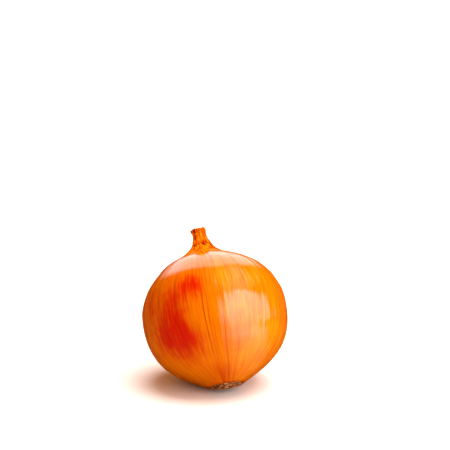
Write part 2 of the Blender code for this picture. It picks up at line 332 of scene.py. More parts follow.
def spun(profile, columns):
    """Angles, radii and heights of a profile's (radius, height) points at so many columns round the axis."""
    angle = np.linspace(0, TURN, columns, endpoint=False)
    radius, height = (np.repeat(part[:, None], columns, axis=1) for part in np.transpose(profile))
    return np.broadcast_to(angle, radius.shape), radius, height


def skin_grid():
    """The closed skin, spun: from the middle of the recess over the lip, up the outside, over the torn rim
    and down into the neck's hollow."""
    wall = SKIN_EDGE_RADIUS - SKIN_LIP
    recess = [(0.5 * wall, RECESS_DEPTH), (wall, RECESS_DEPTH), (wall, 0.5 * RECESS_DEPTH), (wall, SKIN_LIP)]
    rim = [(share * RIM_RADIUS, RIM_HEIGHT - depth) for share, depth in RIM_PROFILE]
    rim += [(0.2 * RIM_RADIUS, RIM_HEIGHT - NECK_HOLLOW_DEPTH)]
    return spun(np.concatenate([recess, bulb_outline(BODY_ROWS), rim]), SKIN_COLUMNS)


def lean_back(points):
    """Upright points turned by the lean about X, the neck going back towards +Y."""
    x, y, z = np.moveaxis(points, -1, 0)
    cos, sin = math.cos(LEAN), math.sin(LEAN)
    return np.stack([x, cos * y + sin * z, cos * z - sin * y], axis=-1)


def resting_place():
    """The shift that puts the leaned bulb's middle over the origin and its lowest point FLAT_DEPTH under
    the table."""
    leaned = lean_back(skin_point(*skin_grid())).reshape(-1, 3)
    low, high = leaned.min(axis=0), leaned.max(axis=0)
    return np.array([-(low[0] + high[0]) / 2, -(low[1] + high[1]) / 2, -low[2] - FLAT_DEPTH])


SHIFT = resting_place()


def set_down(points):
    """Upright points as they lie on the table, pressed flat where they would go under it."""
    placed = lean_back(points) + SHIFT
    placed[..., 2] = np.maximum(placed[..., 2], 0.0)
    return placed


def mesh_object(name, vertices, faces, values, uv=None):
    """A smooth-shaded object from points, faces, values at the points and a UV map."""
    mesh = bpy.data.meshes.new(name)
    mesh.from_pydata(vertices.tolist(), [], faces)
    for key, value in values.items():
        layer = mesh.attributes.new(key, "FLOAT", "POINT")
        layer.data.foreach_set("value", np.asarray(value, dtype=np.float32).ravel())
    if uv is not None:
        mesh.uv_layers.new(name="meridian").data.foreach_set("uv", uv.astype(np.float32).ravel())
    mesh.shade_smooth()
    obj = bpy.data.objects.new(name, mesh)
    bpy.context.scene.collection.objects.link(obj)
    return obj


def grid_faces(rows, columns, closed):
    """Quads over a grid of points numbered row by row, also from the last column to the first if closed."""
    ring = np.arange(rows * columns).reshape(rows, columns)
    if closed:
        ring = np.concatenate([ring, ring[:, :1]], axis=1)
    return np.stack([ring[:-1, :-1], ring[:-1, 1:], ring[1:, 1:], ring[1:, :-1]], axis=-1).reshape(-1, 4)


def closed_faces(rows, columns):
    """Quads over a closed grid, and triangles from its first and its last row to the two points after it."""
    column, low = np.arange(columns), rows * columns
    after, top = (column + 1) % columns, low - columns
    first = np.stack([after, column, np.full(columns, low)], axis=-1)
    last = np.stack([top + column, top + after, np.full(columns, low + 1)], axis=-1)
    return grid_faces(rows, columns, True), first, last


def grid_uv(across, along):
    """The UV corners of a grid's quads, row by row, from its columns' U and its rows' V."""
    left, below = np.meshgrid(across[:-1], along[:-1])
    right, above = np.meshgrid(across[1:], along[1:])
    return np.stack([left, below, right, below, right, above, left, above], axis=-1).reshape(-1, 2)


def arc_share(points):
    """Each row's distance along a grid's first column, as a share of the whole."""
    steps = np.linalg.norm(np.diff(points[:, 0], axis=0), axis=-1)
    along = np.concatenate([[0.0], np.cumsum(steps)])
    return along / along[-1]


def turned_object(name, points, first_pole, last_pole, values):
    """A closed surface over a grid of points, its columns round the axis, with a pole past the first and the
    last row. U runs once round it and V, by arc length, from 0 to 1."""
    rows, columns = points.shape[:2]
    faces = [face for part in closed_faces(rows, columns) for face in part.tolist()]
    vertices = np.concatenate([points.reshape(-1, 3), [first_pole, last_pole]])
    at_points = {
        key: np.append(value.ravel(), [value[0].mean(), value[-1].mean()]) for key, value in values.items()
    }
    across = np.arange(columns + 1) / columns
    a, b = across[:-1], across[1:]
    middle, zero, one = (a + b) / 2, np.zeros(columns), np.ones(columns)
    first_uv = np.stack([b, zero, a, zero, middle, zero], axis=-1).reshape(-1, 2)
    last_uv = np.stack([a, one, b, one, middle, one], axis=-1).reshape(-1, 2)
    uv = np.concatenate([grid_uv(across, arc_share(points)), first_uv, last_uv])
    return mesh_object(name, vertices, faces, at_points, uv)


def paper_object(name, points, turns, values, thickness, closed=False):
    """A thin sheet over a grid of points, with a Solidify wall centred on it. U runs over the given turns
    round the neck and V at the skin's own scale."""
    rows, columns = points.shape[:2]
    faces = grid_faces(rows, columns, closed)
    steps = columns if closed else columns - 1
    length = np.linalg.norm(np.diff(points[:, 0], axis=0), axis=-1).sum() / SKIN_ARC
    uv = grid_uv(np.linspace(*turns, steps + 1), 1 - length * np.linspace(1, 0, rows))
    sheet = mesh_object(name, points.reshape(-1, 3), faces.tolist(), values, uv)
    wall = sheet.modifiers.new("thickness", "SOLIDIFY")
    wall.thickness = thickness
    wall.offset = 0.0
    return sheet


def patch_value(patch, angle, height):
    """The patch's strength at its middle, falling off to all sides as exp(-x^2 - y^2)."""
    turn = np.degrees(turned_off(angle, math.radians(patch.angle))) / patch.half_turn
    rise = (height / MM - patch.height) / patch.half_height
    return patch.strength * np.exp(-turn**2 - rise**2)


def skin_values(angle, radius, height):
    """What the skin's material reads at each point."""
    share = up_neck(height)
    relief = neck_folds(angle, height) + neck_creases(angle, height)
    from_reflection_v = turned_off(angle, NECK_REFLECTION_V_ANGLE) / NECK_REFLECTION_V_TURN
    from_scrap = turned_off(angle, SCRAP_BASE_ANGLE) / FLARE_TURN
    plain_foot = 3 * (1 - smoothstep(*DASHES_COME_IN, height))
    edge = SKIN_EDGE_SHADE * (1 - smoothstep(0.0, SKIN_EDGE_SHADED, height))
    return {
        "girth": radius,
        "tone": sum(patch_value(patch, angle, height) for patch in TONE_AND_SHADING_PATCHES),
        # the V down the front is painted reflection of the neck in the shoulder
        "neck": smoothstep(NECK_FOOT, NECK_SHOWS, height + NECK_REFLECTION_V * np.exp(-(from_reflection_v**2))),
        # painted shade in the neck's folds; far below 0 at the neck's foot, so no dashes there
        "valley": np.clip(-relief / (FOLD_RELIEF * np.maximum(share, 0.2)), -1.0, 1.0) - plain_foot,
        # painted shade: the neck's left side, towards the scrap, goes red-brown
        "shade": -SIDE_SHADE_RED * smoothstep(*SIDE_SHADE_COMES_IN, height) * np.exp(-(from_scrap**2)),
        "stain": patch_value(STAIN, angle, height) + edge,
    }


def make_skin():
    """The whole skin as one closed surface."""
    angle, radius, height = skin_grid()
    points = set_down(skin_point(angle, radius, height))
    sway_x, sway_y = neck_axis(RIM_HEIGHT)
    poles = set_down(np.array([[0, 0, RECESS_DEPTH], [sway_x, sway_y, RIM_HEIGHT - NECK_HOLLOW_DEPTH]]))
    return turned_object("skin", points, *poles, skin_values(angle, radius, height))


def make_scrap():
    """The torn scrap: rooted in the neck at its foot, it curls out with the way up to the power 1.5, narrows
    and leans over to its tip's side, and small waves ruffle it."""
    across, along = np.meshgrid(np.linspace(-1, 1, 41), np.linspace(0, 1, 33))
    torn = 0.14 * across**2 + 0.05 * np.cos(5 * across + 1.0) + 0.03 * np.sin(17 * across)
    height = SCRAP_FOOT + (SCRAP_TIP - SCRAP_FOOT) * along * (1 - torn * along)
    middle = SCRAP_BASE_ANGLE + (SCRAP_ANGLE - SCRAP_BASE_ANGLE) * along
    angle = middle + 0.5 * SCRAP_WIDTH * across * (1 - 0.75 * along)
    ruffle = 0.10 * MM * along * np.sin(9 * across + 2 * along) + 0.07 * MM * np.sin(21 * across + 5 * along)
    radius = NECK_RADIUS - SCRAP_ROOTED * (1 - along) + SCRAP_CURL * along**1.5 + ruffle
    points = round_axis(angle, radius, height, neck_axis(height))
    # a shade below 0 makes the scrap red-brown, its own red and painted shade; it is darker in its ruffles'
    # troughs, painted shade
    values = {"girth": radius, "valley": -ruffle / (0.17 * MM), "shade": -0.9 + 0.3 * along}
    return paper_object("torn_scrap", set_down(points), (0.37, 0.53), values, 2 * PAPER_THICKNESS)


Sheath = namedtuple("Sheath", "edge turn foot top lift shade phase")
SHEATHS = (
    Sheath(38, 118, 75.5 * MM, 84.4 * MM, 0.16 * MM, 0.75, 0.4),
    # this sheath's shade below 0 is painted shade on the neck's left side
    Sheath(112, 96, 77.0 * MM, 85.3 * MM, 0.18 * MM, -0.6, 1.7),
    Sheath(205, 84, 76.0 * MM, 83.2 * MM, 0.17 * MM, 0.45, 2.9),
    Sheath(262, 104, 77.5 * MM, 85.2 * MM, 0.14 * MM, 0.85, 4.1),
    Sheath(331, 92, 76.5 * MM, 84.9 * MM, 0.16 * MM, 0.65, 5.3),
)


SHEATH_DIVE = 0.25 * MM

# The inner sheaths in the neck's hollow: share of the rim's radius, how far the top is above it, and phase
INNER_RINGS = ((0.70, 0.1 * MM, 0.5), (0.46, -0.3 * MM, 2.2), (0.24, -0.6 * MM, 4.0))


def make_sheath(number, sheath):
    """A dry outer sheath: it follows the neck's relief a paper's thickness out, dives into it at its foot and
    far side, and its free edge and ragged top stand off by the lift."""
    across, along = np.meshgrid(np.linspace(0, 1, 61), np.linspace(0, 1, 49))
    ragged = 0.02 * np.sin(9 * across + sheath.phase) + 0.02 * np.sin(23 * across + 2 * sheath.phase)
    ragged = ragged + 0.015 * np.sin(47 * across) - 0.10 * across**2
    height = sheath.foot + (sheath.top - sheath.foot) * along * (1 + ragged * along)
    share = up_neck(height)
    wander = 0.05 * np.sin(5 * along + sheath.phase) + 0.03 * np.sin(13 * along)
    angle = math.radians(sheath.edge) + math.radians(sheath.turn) * across - LAP_SLANT * share
    angle = angle + wander * (1 - across)
    free = (1 - across) ** 3 * along + 0.6 * smoothstep(0.7, 1.0, along)
    buried = smoothstep(0.0, 0.25, along) * (1 - smoothstep(0.75, 1.0, across))
    out = (PAPER_THICKNESS + sheath.lift * free) * buried - SHEATH_DIVE * (1 - buried)
    radius = outside_radius(height)
    points = skin_point(angle, radius + out, height)
    values = {
        "girth": radius,
        # painted shade in the valleys of the folds
        "valley": np.clip(-neck_folds(angle, height) / FOLD_RELIEF, -1, 1),
        "shade": np.full(across.shape, sheath.shade) + 0.2 * (along - 0.5),
    }
    turns = (sheath.edge / 360, (sheath.edge + sheath.turn) / 360)
    return paper_object(f"sheath_{number}", set_down(points), turns, values, PAPER_THICKNESS)


def make_inner_ring(number, share, above, phase):
    """A dry inner sheath in the neck's hollow: a wavy ring with a ragged top, both by sums of sines."""
    angle, along = np.meshgrid(np.linspace(0, TURN, 96, endpoint=False), np.linspace(0, 1, 9))
    waves = 0.10 * np.sin(3 * angle + phase) + 0.07 * np.sin(7 * angle + 2 * phase)
    waves = waves + 0.04 * np.sin(15 * angle)
    radius = RIM_RADIUS * share * (1 + waves)
    ragged = 0.5 * np.sin(5 * angle + phase) + 0.35 * np.sin(13 * angle) + 0.15 * np.sin(29 * angle + phase)
    foot = RIM_HEIGHT - NECK_HOLLOW_DEPTH - 0.4 * MM
    height = foot + (RIM_HEIGHT + above - foot + 0.35 * MM * ragged) * along
    points = set_down(round_axis(angle, radius, height, neck_axis(height)))
    # painted shade: the inner sheaths darken down into the hollow
    values = {"girth": radius, "valley": 0.5 - along, "shade": 0.3 + 0.5 * along}
    return paper_object(f"inner_sheath_{number}", points, (0, 1), values, 0.7 * PAPER_THICKNESS, True)


def plate_height(radius):
    """The plate bulges downwards by the crown, which falls off as 1 - (r/R)^2."""
    return PLATE_EDGE_HEIGHT - PLATE_CROWN * (1 - (radius / PLATE_RADIUS) ** 2)


def make_root_plate():
    """The corky plate: its outer face has pits, products of cosines in X and Y at two sizes, and its side and
    back are plain."""
    across = np.linspace(0.02, 0.985, 40) * PLATE_RADIUS
    back = RECESS_DEPTH - FIT_GAP
    face = np.stack([across, plate_height(across)], axis=-1)
    side = [(PLATE_RADIUS, PLATE_EDGE_HEIGHT + 0.1 * MM), (PLATE_RADIUS, back - 0.2 * MM)]
    side += [(0.97 * PLATE_RADIUS, back), (0.5 * PLATE_RADIUS, back)]
    angle, radius, height = spun(np.concatenate([face, side]), PLATE_COLUMNS)
    x, y = radius * np.cos(angle), radius * np.sin(angle)
    coarse = np.cos(x / (0.34 * MM) + np.sin(y / (0.9 * MM)))
    coarse = coarse * np.cos(y / (0.31 * MM) + 1.3 * np.sin(x / (1.1 * MM)))
    fine = np.cos(x / (0.19 * MM)) * np.cos(y / (0.17 * MM) + x / (0.8 * MM))
    on_face = (np.arange(len(radius)) < len(face))[:, None]
    pits = (0.6 * coarse + 0.4 * fine) * on_face
    points = set_down(np.stack([x, y, height + PIT_RELIEF * pits], axis=-1))
    poles = set_down(np.array([[0, 0, plate_height(0.0)], [0, 0, back]]))
    return turned_object("root_plate_face", points, *poles, {"pit": 0.5 + 0.5 * pits})


def unit(vectors):
    """The vectors at length 1."""
    return vectors / np.linalg.norm(vectors, axis=-1, keepdims=True)


def root_paths():
    """Paths of the dry roots, as (root, step, xyz), with their radii and shades.

    Root n starts on the plate at a distance that grows with the square root of n, turned by n golden angles.
    It sets off down and outwards, bends over sideways and rises: start + length (t d + curl t^2 s + rise)."""
    rng = np.random.default_rng(ROOT_SEED)
    number = np.arange(ROOTS)
    thickness = rng.uniform(*ROOT_RADII, ROOTS) * (1 - 0.25 * (number / ROOTS))
    spread = PLATE_RADIUS - thickness - 0.05 * MM
    distance = spread * np.sqrt((number + 0.5) / ROOTS)
    angle = number * GOLDEN_ANGLE + rng.normal(0, 0.05, ROOTS)
    start = round_axis(angle, distance, plate_height(distance) + ROOT_DEPTH, (0, 0))
    outward = np.stack([np.cos(angle), np.sin(angle), 0 * angle], axis=-1)
    sideways = np.stack([-np.sin(angle), np.cos(angle), 0 * angle], axis=-1)
    lean = (0.25 + 0.35 * distance / PLATE_RADIUS + rng.normal(0, 0.25, ROOTS))[:, None]
    slip = rng.normal(0, 0.45, ROOTS)[:, None]
    direction = unit(outward * lean + sideways * slip - [0, 0, 1.0])
    hook = sideways * rng.choice([-1, 1], ROOTS)[:, None]
    hook = unit(hook + outward * rng.normal(-0.1, 0.6, ROOTS)[:, None])
    curl = rng.uniform(0.25, 1.15, ROOTS)[:, None, None]
    length = rng.uniform(*ROOT_LENGTHS, ROOTS) * (1 - 0.5 * (distance / PLATE_RADIUS) ** 3)
    t = np.linspace(0, 1, len(ROOT_TAPER))[None, :, None]
    rise = 0.35 * curl * t**3 * np.array([0, 0, 1.0])
    way = t * direction[:, None] + curl * t**2 * hook[:, None] + rise
    path = start[:, None] + length[:, None, None] * way
    reach = np.hypot(path[..., 0], path[..., 1])
    most = PLATE_RADIUS - thickness[:, None] + 0.8 * np.maximum(0.0, -path[..., 2] - FIT_GAP)
    path[..., :2] *= np.minimum(1.0, most / reach)[..., None]
    pale = rng.random(ROOTS) < PALE_ROOTS
    shade = np.clip(rng.normal(0.2, 0.15, ROOTS) + np.where(pale, 0.6, 0.0), 0, 1)
    return path, thickness, shade


def make_roots():
    """Tubes round the roots' paths: at each step a ring of points at the tapered radius, and a point at each
    end. A path that would touch the table is laid a little above it."""
    path, thickness, shade = root_paths()
    radius = thickness[:, None] * np.array(ROOT_TAPER)
    path = lean_back(path) + SHIFT
    path[..., 2] = np.maximum(path[..., 2], radius.max(axis=1, keepdims=True) + TABLE_CLEARANCE)
    tangent = unit(np.gradient(path, axis=1) + [0, 0, 1e-9])
    chord = path[:, -1:] - path[:, :1] + [0.3 * MM, 0.2 * MM, 0.1 * MM]
    beside = unit(np.cross(tangent, chord) + [1e-9, 0, 0])
    beside = unit(beside[:, 2:3] - (beside[:, 2:3] * tangent).sum(-1, keepdims=True) * tangent)
    over = np.cross(tangent, beside)
    turn = np.linspace(0, TURN, ROOT_SIDES, endpoint=False)[None, None, :, None]
    ring = np.cos(turn) * beside[:, :, None] + np.sin(turn) * over[:, :, None]
    ring = path[:, :, None] + radius[..., None, None] * ring
    steps, each = len(ROOT_TAPER), len(ROOT_TAPER) * ROOT_SIDES + 2
    first = path[:, 0] - 0.5 * radius[:, :1] * tangent[:, 0]
    final = path[:, -1] + 0.5 * radius[:, -1:] * tangent[:, -1]
    vertices = np.concatenate([ring.reshape(ROOTS, -1, 3), np.stack([first, final], axis=1)], axis=1)
    vertices[..., 2] = np.maximum(vertices[..., 2], 0.5 * TABLE_CLEARANCE)
    offset = (np.arange(ROOTS) * each)[:, None, None]
    parts = ((part + offset).reshape(-1, part.shape[1]) for part in closed_faces(steps, ROOT_SIDES))
    faces = [face for part in parts for face in part.tolist()]
    along = np.append(np.repeat(np.linspace(0, 1, steps), ROOT_SIDES), [0.0, 1.0])
    values = {"shade": np.repeat(shade[:, None], each, axis=1), "along": np.tile(along, (ROOTS, 1))}
    return mesh_object("roots", vertices.reshape(-1, 3), faces, values)


def add_node(tree, kind, inputs=None, **settings):
    """A node of this kind with its settings; each input is a value or the socket that feeds it."""
    node = tree.nodes.new(kind)
    for key, value in settings.items():
        setattr(node, key, value)
    for key, value in (inputs or {}).items():
        if isinstance(value, bpy.types.NodeSocket):
            tree.links.new(value, node.inputs[key])
        else:
            node.inputs[key].default_value = value
    return node


def maths(tree, operation, *values, clamp=False):
    """The result of one operation on these values."""
    node = add_node(tree, "ShaderNodeMath", dict(enumerate(values)), operation=operation, use_clamp=clamp)
    return node.outputs[0]


def times(tree, a, b, clamp=False):
    """The product of two values."""
    return maths(tree, "MULTIPLY", a, b, clamp=clamp)


def plus(tree, a, b):
    """The sum of two values."""
    return maths(tree, "ADD", a, b)


def less(tree, a, b):
    """The first value less the second."""
    return maths(tree, "SUBTRACT", a, b)


def between(tree, value, low, high, to_low=0.0, to_high=1.0):
    """The value's smooth share of the way from low to high, as a number from to_low to to_high."""
    inputs = {"Value": value, "From Min": low, "From Max": high, "To Min": to_low, "To Max": to_high}
    return add_node(tree, "ShaderNodeMapRange", inputs, interpolation_type="SMOOTHSTEP").outputs[0]


def mixed(tree, share, a, b, blend="MIX"):
    """Two colours mixed; a colour is a socket or (red, green, blue)."""
    a, b = (c if isinstance(c, bpy.types.NodeSocket) else (*c, 1.0) for c in (a, b))
    node = add_node(tree, "ShaderNodeMix", {0: share, 6: a, 7: b}, data_type="RGBA", blend_type=blend)
    return node.outputs[2]


def number_mix(tree, share, a, b):
    """a where the share is 0 and b where it is 1."""
    return add_node(tree, "ShaderNodeMix", {0: share, 2: a, 3: b}, data_type="FLOAT").outputs[0]


def attribute(tree, name):
    """The value that the mesh carries at its points under this name."""
    return add_node(tree, "ShaderNodeAttribute", attribute_name=name).outputs["Fac"]


def noise(tree, vector, scale, detail=3.0, roughness=0.55):
    """Noise, mostly from 0.3 to 0.7, at a place."""
    inputs = {"Vector": vector, "Scale": scale, "Detail": detail, "Roughness": roughness}
    return add_node(tree, "ShaderNodeTexNoise", inputs).outputs["Fac"]


def node_group(name, inputs, outputs):
    """An empty shader group with float inputs (name: value) and float outputs, and its two end nodes."""
    tree = bpy.data.node_groups.new(name, "ShaderNodeTree")
    for key, value in inputs.items():
        tree.interface.new_socket(key, in_out="INPUT", socket_type="NodeSocketFloat").default_value = value
    for key in outputs:
        tree.interface.new_socket(key, in_out="OUTPUT", socket_type="NodeSocketFloat")
    return tree, add_node(tree, "NodeGroupInput").outputs, add_node(tree, "NodeGroupOutput").inputs


def meridian_place(tree, across, stretch):
    """The UV map's U, and a place for noise that meets itself after one turn: cos and sin of the turn, times
    across, and V times the stretch."""
    uv = add_node(tree, "ShaderNodeUVMap", uv_map="meridian").outputs[0]
    u, v, _ = add_node(tree, "ShaderNodeSeparateXYZ", {0: uv}).outputs
    turn = times(tree, u, TURN)
    east, north = (times(tree, maths(tree, part, turn), across) for part in ("COSINE", "SINE"))
    parts = {0: east, 1: north, 2: times(tree, v, stretch)}
    return u, add_node(tree, "ShaderNodeCombineXYZ", parts).outputs[0]


def meridian_vein_group():
    """Count thin lines from root plate to neck; each wanders by noise, has its own strength and comes and
    goes along its way. Width is in metres, so the lines keep it where they crowd."""
    inputs = {"Count": 40.0, "Phase": 0.0, "Wander": 1.0, "Width": 0.0005, "Girth": EQUATOR_RADIUS}
    tree, given, out = node_group("meridian veins", inputs, ["Mask"])
    u, place = meridian_place(tree, 1.0, 0.9)
    drift = less(tree, noise(tree, place, 2.6, 2.0), 0.5)
    position = plus(tree, times(tree, u, given["Count"]), given["Phase"])
    position = plus(tree, position, times(tree, drift, given["Wander"]))
    off_line = maths(tree, "ABSOLUTE", less(tree, maths(tree, "FRACT", position), 0.5))
    cell = maths(tree, "DIVIDE", times(tree, given["Girth"], TURN), given["Count"])
    width = maths(tree, "MINIMUM", maths(tree, "DIVIDE", given["Width"], cell), 0.3)
    line = less(tree, 1.0, between(tree, off_line, times(tree, width, 0.15), width))
    which = maths(tree, "FLOORED_MODULO", maths(tree, "FLOOR", position), given["Count"])
    seed = plus(tree, which, times(tree, given["Count"], 7.3))
    strength = add_node(tree, "ShaderNodeTexWhiteNoise", {"W": seed}, noise_dimensions="1D").outputs["Value"]
    come_and_go = between(tree, noise(tree, place, 9.0, 2.0), 0.32, 0.62, 0.35, 1.0)
    each = times(tree, between(tree, strength, 0.1, 0.95, 0.15, 1.0), come_and_go)
    tree.links.new(times(tree, line, each), out["Mask"])
    return tree


def fibre_group():
    """Fine streaks along the meridians: noise with Fineness streaks to the radian, drawn out lengthwise."""
    tree, given, out = node_group("meridian fibres", {"Fineness": 40.0, "Length": 1.0}, ["Value"])
    stretch = maths(tree, "DIVIDE", FIBRE_STRETCH, given["Length"])
    place = meridian_place(tree, given["Fineness"], stretch)[1]
    tree.links.new(noise(tree, place, 1.0, 3.0, 0.6), out["Value"])
    return tree


def mottle_group():
    """Cloudy noise of this Size in metres, pulled towards 0 and 1."""
    tree, given, out = node_group("mottle", {"Size": 0.01, "Contrast": 0.5}, ["Value"])
    place = add_node(tree, "ShaderNodeTexCoord").outputs["Object"]
    cloud = noise(tree, place, maths(tree, "DIVIDE", 1.0, given["Size"]), 4.0, 0.6)
    half = times(tree, less(tree, 1.0, given["Contrast"]), 0.5)
    value = between(tree, cloud, less(tree, 0.5, half), plus(tree, 0.5, half))
    tree.links.new(value, out["Value"])
    return tree


FIBRE_STRETCH = 12.0
VEINS = meridian_vein_group()
FIBRES = fibre_group()
MOTTLE = mottle_group()

# Veins: how many round the bulb, phase, wander and width; the strong one's phase sets it at 244.5 degrees
COARSE_VEINS = (31.0, 0.2, 0.9, 0.50 * MM)
FINE_VEINS = (46.0, 0.6, 1.6, 0.38 * MM)
STRONG_VEIN = (1.0, 0.5 - 244.5 / 360, 0.01, 0.50 * MM)


def grouped(tree, group, **inputs):
    """The output of a node group with these inputs."""
    return add_node(tree, "ShaderNodeGroup", inputs, node_tree=group).outputs[0]


def new_material(name, **constants):
    """A material with a Principled BSDF; the constants are set on its own sockets."""
    material = bpy.data.materials.new(name)
    material.use_nodes = True
    tree = material.node_tree
    tree.nodes.clear()
    inputs = {key.replace("_", " "): value for key, value in constants.items()}
    shader = add_node(tree, "ShaderNodeBsdfPrincipled", inputs)
    add_node(tree, "ShaderNodeOutputMaterial", {"Surface": shader.outputs[0]})
    return material, tree, shader.inputs


def bumped(tree, height, strength, distance):
    """The normal of a surface raised by height times a distance in metres."""
    inputs = {"Height": height, "Strength": strength, "Distance": distance}
    return add_node(tree, "ShaderNodeBump", inputs).outputs[0]


def surface(tree, shader, colour, roughness, normal):
    """Feeds the shader its colour, roughness and normal."""
    for key, value in (("Base Color", colour), ("Roughness", roughness), ("Normal", normal)):
        tree.links.new(value, shader[key])


SKIN_ORANGE = (0.65, 0.155, 0.0006)
SKIN_RED = (0.52, 0.007, 0.0004)
SKIN_AMBER = (0.74, 0.250, 0.0008)
VEIN_BROWN = (0.36, 0.022, 0.001)
DARK_VEIN = (0.26, 0.016, 0.001)
STAIN_AND_SHADE_BROWN = (0.50, 0.045, 0.001)
NECK_AMBER = (0.68, 0.095, 0.0006)
NECK_GOLD = (0.90, 0.235, 0.0012)
NECK_RED = (0.46, 0.018, 0.0005)
NECK_DARK = (0.12, 0.008, 0.001)
PAPER_TAN = (0.80, 0.20, 0.003)
ROOT_SHADE_DARK = (0.06, 0.009, 0.002)
ROOT_BROWN = (0.20, 0.040, 0.008)
ROOT_TAN = (0.52, 0.16, 0.035)
ROOT_CREAM = (0.95, 0.50, 0.18)


# The dry neck's patterns: streaks to the radian at its top and its foot, their length, and the distances
# from the axis between which the foot begins
NECK_BLOTCH = ((2.0, 5.0), 0.50)
NECK_STREAK = ((9.0, 26.0), 0.60)
NECK_DASH = ((11.0, 32.0), 0.25)
NECK_FOOT_GIRTHS = (4.5 * MM, 9.5 * MM)


def neck_colour(tree, valley):
    """The dry neck's colour: amber with golden streaks, red-brown blotches and short dark dashes, all
    lengthwise, the dashes gathering in the folds' valleys as painted shade, and red-brown all over with more
    dashes where the shade is below 0, painted shade on the neck's left side."""
    foot = between(tree, attribute(tree, "girth"), *NECK_FOOT_GIRTHS)
    blotch, streak, dash = (
        number_mix(tree, foot, *(grouped(tree, FIBRES, Fineness=count, Length=length) for count in counts))
        for counts, length in (NECK_BLOTCH, NECK_STREAK, NECK_DASH)
    )
    colour = mixed(tree, between(tree, streak, 0.40, 0.56), NECK_AMBER, NECK_GOLD)
    colour = mixed(tree, between(tree, blotch, 0.45, 0.62, 0.0, 0.8), colour, NECK_RED)
    # a shade below 0 is painted shade: red-brown and more dark dashes
    red = between(tree, attribute(tree, "shade"), 0.0, -1.0)
    colour = mixed(tree, red, colour, NECK_RED)
    # painted shade: dark dashes gather in the valleys of the folds
    dark = plus(tree, dash, times(tree, valley, 0.03))
    dark = plus(tree, dark, between(tree, blotch, 0.4, 0.65, -0.02, 0.035))
    dark = plus(tree, dark, times(tree, red, 0.05))
    return mixed(tree, between(tree, dark, 0.48, 0.55, 0.0, 0.9), colour, NECK_DARK)


def onion_skin_material():
    """Glossy orange skin with patches of red and amber, partly painted shade and painted light, fibres,
    veins, a stain over the roots with painted shade along its lower edge, and the dry neck. The wax's gloss
    ends where the neck begins."""
    material, tree, shader = new_material(
        "onion_skin_finish", IOR=1.45, Specular_IOR_Level=0.0, Coat_Roughness=0.06, Coat_IOR=1.7
    )
    girth, neck, valley = (attribute(tree, name) for name in ("girth", "neck", "valley"))
    cloud = grouped(tree, MOTTLE, Size=0.016, Contrast=0.5)
    tone = plus(tree, attribute(tree, "tone"), between(tree, cloud, 0.0, 1.0, -0.22, 0.22))
    fibre = grouped(tree, FIBRES, Fineness=34.0, Length=1.4)
    fine = grouped(tree, FIBRES, Fineness=90.0, Length=0.8)
    tone = plus(tree, tone, between(tree, fibre, 0.3, 0.7, 0.16, -0.16))
    # red below 0 and amber above 0: partly the skin's own tone, partly painted shade on the left and painted
    # light on the right
    colour = mixed(tree, between(tree, tone, 0.0, -1.0), SKIN_ORANGE, SKIN_RED)
    colour = mixed(tree, between(tree, tone, 0.0, 1.0), colour, SKIN_AMBER)
    colour = mixed(tree, between(tree, fibre, 0.3, 0.75, 0.0, 0.22), colour, SKIN_RED)
    colour = mixed(tree, between(tree, fine, 0.45, 0.8, 0.0, 0.18), colour, SKIN_AMBER)
    coarse_veins, fine_veins, strong_vein = (
        grouped(tree, VEINS, Count=count, Phase=phase, Wander=wander, Width=width, Girth=girth)
        for count, phase, wander, width in (COARSE_VEINS, FINE_VEINS, STRONG_VEIN)
    )
    colour = mixed(tree, times(tree, coarse_veins, 0.6), colour, VEIN_BROWN)
    colour = mixed(tree, times(tree, fine_veins, 0.42), colour, VEIN_BROWN)
    colour = mixed(tree, times(tree, strong_vein, 0.8), colour, DARK_VEIN)
    streaky = between(tree, fibre, 0.2, 0.7, 0.5, 1.0)
    # the stain over the roots, and painted shade along the skin's lower edge
    stain = times(tree, attribute(tree, "stain"), streaky, clamp=True)
    colour = mixed(tree, times(tree, stain, 0.75), colour, STAIN_AND_SHADE_BROWN)
    neck = plus(tree, neck, between(tree, fibre, 0.25, 0.75, -0.22, 0.22))
    neck = between(tree, neck, 0.05, 0.85)
    colour = mixed(tree, neck, colour, neck_colour(tree, valley))
    roughness = plus(tree, between(tree, fibre, 0.3, 0.7, 0.30, 0.40), times(tree, neck, 0.25))
    facing = add_node(tree, "ShaderNodeLayerWeight", {"Blend": 0.5}).outputs["Facing"]
    wax = between(tree, facing, 0.72, 1.0, 1.0, 0.35)
    tree.links.new(times(tree, wax, less(tree, 1.0, neck)), shader["Coat Weight"])
    height = plus(tree, fibre, times(tree, fine, 0.5))
    height = less(tree, height, times(tree, coarse_veins, 0.4))
    relief = bumped(tree, height, 1.0, 0.00006)
    surface(tree, shader, colour, roughness, relief)
    tree.links.new(relief, shader["Coat Normal"])
    return material


def dry_sheath_material():
    """Dry papery sheath: amber to tan by its shade, or red-brown where that is below 0: the paper's own red
    and painted shade on the neck's left side.
    """
    material, tree, shader = new_material("dry_sheath_finish", IOR=1.45, Specular_IOR_Level=0.04)
    shade, valley = attribute(tree, "shade"), attribute(tree, "valley")
    blotch = grouped(tree, MOTTLE, Size=0.0018, Contrast=0.6)
    fibre = grouped(tree, FIBRES, Fineness=11.0, Length=2.5)
    paper = mixed(tree, between(tree, fibre, 0.45, 0.75, 0.0, 0.6), PAPER_TAN, NECK_RED)
    colour = mixed(tree, times(tree, shade, 0.4, clamp=True), neck_colour(tree, valley), paper)
    roughness = between(tree, blotch, 0.0, 1.0, 0.45, 0.62)
    surface(tree, shader, colour, roughness, bumped(tree, fibre, 0.5, 0.0001))
    return material


